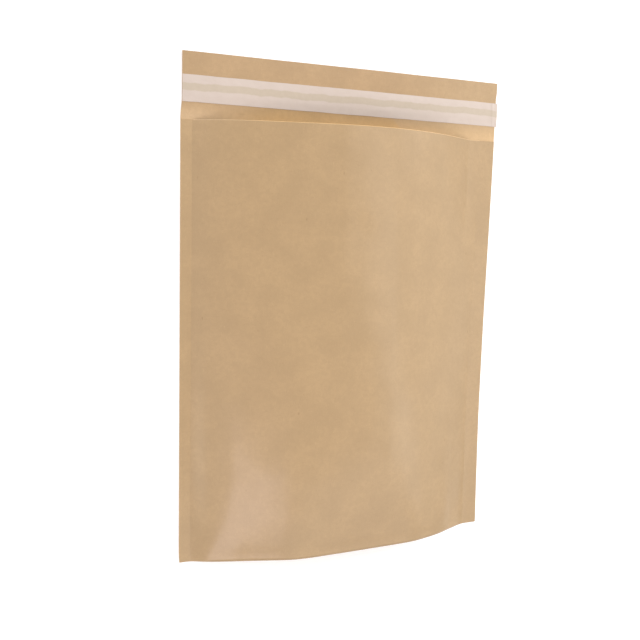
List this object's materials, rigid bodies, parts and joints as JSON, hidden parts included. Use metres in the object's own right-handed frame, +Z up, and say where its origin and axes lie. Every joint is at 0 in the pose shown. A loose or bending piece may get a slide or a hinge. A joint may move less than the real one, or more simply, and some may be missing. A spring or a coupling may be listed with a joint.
{
  "type": "padded envelope",
  "caption": "Open padded kraft mailer lying flat: folded paper pocket with side seams, cushioning lining, extended closing flap, adhesive band and peel-off liner.",
  "frame": {"origin": "bottom centre of the bounding box, on the surface that the envelope lies on", "axes": "+X across the envelope, +Y from the bottom fold to the free edge of the flap, +Z up out of the front panel"},
  "size_m": [0.28, 0.4, 0.0343],
  "materials": {
    "kraft": "smooth machine-glazed brown kraft, semi-gloss",
    "padding_paper": "matt slit and expanded brown paper cushioning",
    "adhesive": "tacky pressure-sensitive glue, slightly wavy",
    "liner": "thin milky siliconised release strip, satin"
  },
  "bodies": {
    "root": {"envelope": "kraft", "padding": "padding_paper", "adhesive_strip": "adhesive", "release_liner": "liner"}
  },
  "joints": []
}
